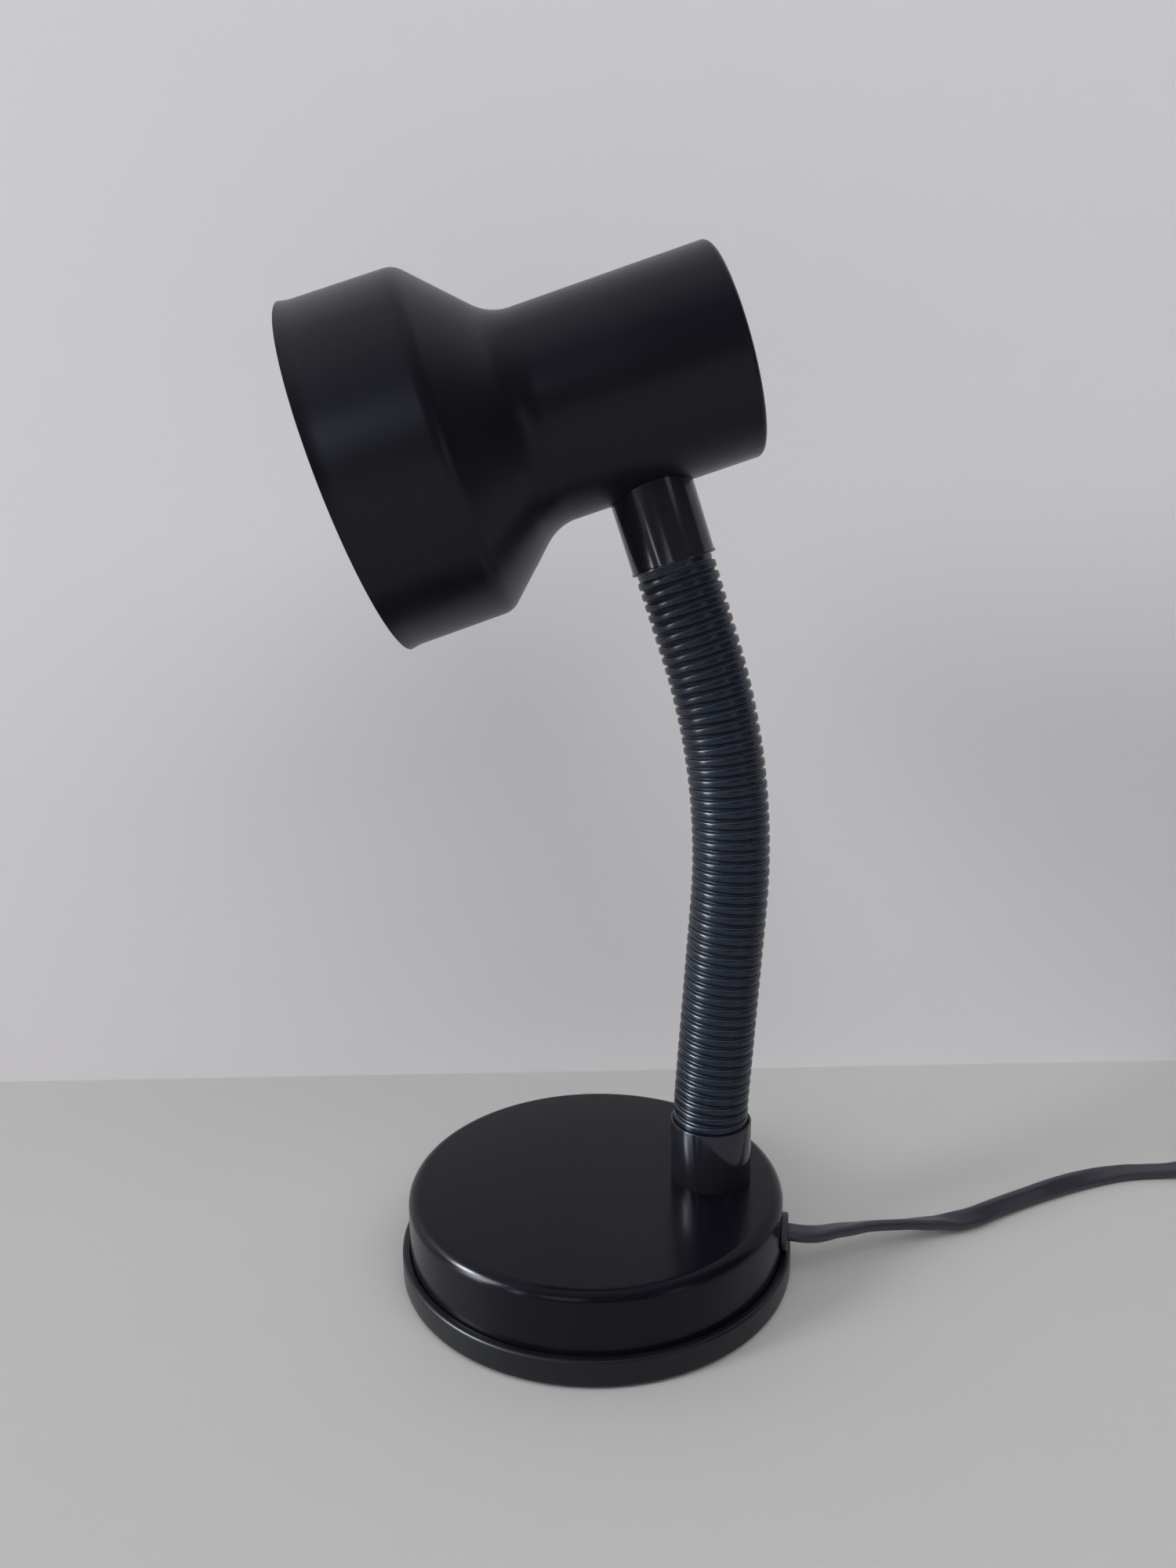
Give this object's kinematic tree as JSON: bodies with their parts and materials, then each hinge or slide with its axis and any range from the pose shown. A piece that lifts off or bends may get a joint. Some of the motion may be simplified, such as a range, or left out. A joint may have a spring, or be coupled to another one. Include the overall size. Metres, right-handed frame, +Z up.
{
  "type": "gooseneck desk lamp",
  "caption": "Desk lamp with a weighted round base, a ribbed flexible neck, a stepped round shade, a flat cord with an inline rocker switch, and a plug.",
  "frame": {"origin": "centre of the foot pad's lower face, on the table", "axes": "+Z up, -X the way the shade faces, the neck stands on the +X side of the base"},
  "size_m": [0.4185, 0.1579, 0.3203],
  "materials": {
    "metal_black": "satin",
    "pan_plastic": "satin",
    "foot_foam": "matte",
    "iron": "rough",
    "steel": "satin",
    "core_steel": "satin",
    "sleeve_pvc": "satin gloss",
    "collar_gloss": "gloss",
    "cord_pvc": "satin",
    "clamp_nylon": "satin",
    "holder_white": "gloss",
    "contact_brass": "polished",
    "cap_metal": "satin",
    "bulb_opal": "satin",
    "fitting_black": "satin",
    "pin_nickel": "polished"
  },
  "bodies": {
    "base": {"base_cover": "metal_black", "base_pan": "pan_plastic", "ballast": "iron", "base_pad": "foot_foam", "cover_posts": "steel", "base_screws": "steel", "lower_collar": "collar_gloss", "lower_nipple": "steel", "lower_washer": "steel", "lower_nut": "steel", "grommet": "cord_pvc", "cord_clamp": "clamp_nylon", "clamp_screws": "steel", "neck_lead": "cord_pvc", "sleeve_foot": "sleeve_pvc", "core_foot": "core_steel", "cord_run": "cord_pvc", "switch_base": "fitting_black", "switch_cover": "fitting_black", "switch_screws": "steel", "switch_contacts": "contact_brass", "cord_tail": "cord_pvc", "cord_coil": "cord_pvc", "cord_end": "cord_pvc", "plug_body": "fitting_black", "plug_pins": "pin_nickel"},
    "link_01": {"neck_sleeve_01": "sleeve_pvc", "neck_core_01": "core_steel"},
    "link_02": {"neck_sleeve_02": "sleeve_pvc", "neck_core_02": "core_steel"},
    "link_03": {"neck_sleeve_03": "sleeve_pvc", "neck_core_03": "core_steel"},
    "link_04": {"neck_sleeve_04": "sleeve_pvc", "neck_core_04": "core_steel"},
    "link_05": {"neck_sleeve_05": "sleeve_pvc", "neck_core_05": "core_steel"},
    "link_06": {"neck_sleeve_06": "sleeve_pvc", "neck_core_06": "core_steel"},
    "link_07": {"neck_sleeve_07": "sleeve_pvc", "neck_core_07": "core_steel"},
    "link_08": {"neck_sleeve_08": "sleeve_pvc", "neck_core_08": "core_steel"},
    "link_09": {"neck_sleeve_09": "sleeve_pvc", "neck_core_09": "core_steel"},
    "link_10": {"neck_sleeve_10": "sleeve_pvc", "neck_core_10": "core_steel"},
    "head": {"sleeve_head": "sleeve_pvc", "core_head": "core_steel", "upper_collar": "collar_gloss", "upper_nipple": "steel", "upper_nut": "steel", "holder_bracket": "steel", "holder_screws": "steel", "shade": "metal_black", "shade_can": "metal_black", "lampholder": "holder_white", "holder_contacts": "contact_brass", "bulb_cap": "cap_metal", "bulb_glass": "bulb_opal"},
    "rocker": {"switch_rocker": "fitting_black"}
  },
  "joints": [
    {"name": "neck_bend_lower", "type": "hinge", "parent": "base", "child": "link_01", "pos_m": [0.0389, 0, 0.0546], "axis": [0.001, 1, 0], "range_deg": [-12, 12], "deforming": ["neck_lead"]},
    {"name": "neck_sway_lower", "type": "hinge", "parent": "link_01", "child": "link_02", "pos_m": [0.04023, 0, 0.07148], "axis": [0.9969, 0, -0.0785], "range_deg": [-12, 12]},
    {"name": "neck_bend_lower_2", "type": "hinge", "parent": "link_02", "child": "link_03", "pos_m": [0.04156, 0, 0.08836], "axis": [0.001, 1, 0], "range_deg": [-12, 12]},
    {"name": "neck_sway_lower_2", "type": "hinge", "parent": "link_03", "child": "link_04", "pos_m": [0.04288, 0, 0.10523], "axis": [0.9969, 0, -0.0785], "range_deg": [-12, 12]},
    {"name": "neck_bend_lower_3", "type": "hinge", "parent": "link_04", "child": "link_05", "pos_m": [0.04421, 0, 0.12211], "axis": [0.001, 1, 0], "range_deg": [-12, 12]},
    {"name": "neck_sway_lower_3", "type": "hinge", "parent": "link_05", "child": "link_06", "pos_m": [0.04486, 0, 0.13903], "axis": [1, 0, 0.0007], "range_deg": [-12, 12]},
    {"name": "neck_bend_upper", "type": "hinge", "parent": "link_06", "child": "link_07", "pos_m": [0.04419, 0, 0.15595], "axis": [0.001, 1, 0], "range_deg": [-12, 12]},
    {"name": "neck_sway_upper", "type": "hinge", "parent": "link_07", "child": "link_08", "pos_m": [0.04222, 0, 0.17276], "axis": [0.988, 0, 0.1546], "range_deg": [-12, 12]},
    {"name": "neck_bend_upper_2", "type": "hinge", "parent": "link_08", "child": "link_09", "pos_m": [0.03896, 0, 0.18937], "axis": [0.001, 1, 0], "range_deg": [-12, 12]},
    {"name": "neck_sway_upper_2", "type": "hinge", "parent": "link_09", "child": "link_10", "pos_m": [0.03442, 0, 0.20569], "axis": [0.9587, 0, 0.2843], "range_deg": [-12, 12]},
    {"name": "neck_bend_upper_3", "type": "hinge", "parent": "link_10", "child": "head", "pos_m": [0.02933, 0, 0.22183], "axis": [0.001, 1, 0], "range_deg": [-12, 12]},
    {"name": "rocker_tip", "type": "hinge", "parent": "base", "child": "rocker", "pos_m": [0.264, 0.0395, 0.0137], "axis": [0, 1, 0], "range_deg": [0, 14]}
  ],
  "couplings": [
    {"joint": "neck_bend_lower_2", "follows": "neck_bend_lower", "ratio": 1},
    {"joint": "neck_bend_lower_3", "follows": "neck_bend_lower", "ratio": 1},
    {"joint": "neck_sway_lower_2", "follows": "neck_sway_lower", "ratio": 1},
    {"joint": "neck_sway_lower_3", "follows": "neck_sway_lower", "ratio": 1},
    {"joint": "neck_bend_upper_2", "follows": "neck_bend_upper", "ratio": 1},
    {"joint": "neck_bend_upper_3", "follows": "neck_bend_upper", "ratio": 1},
    {"joint": "neck_sway_upper_2", "follows": "neck_sway_upper", "ratio": 1}
  ]
}
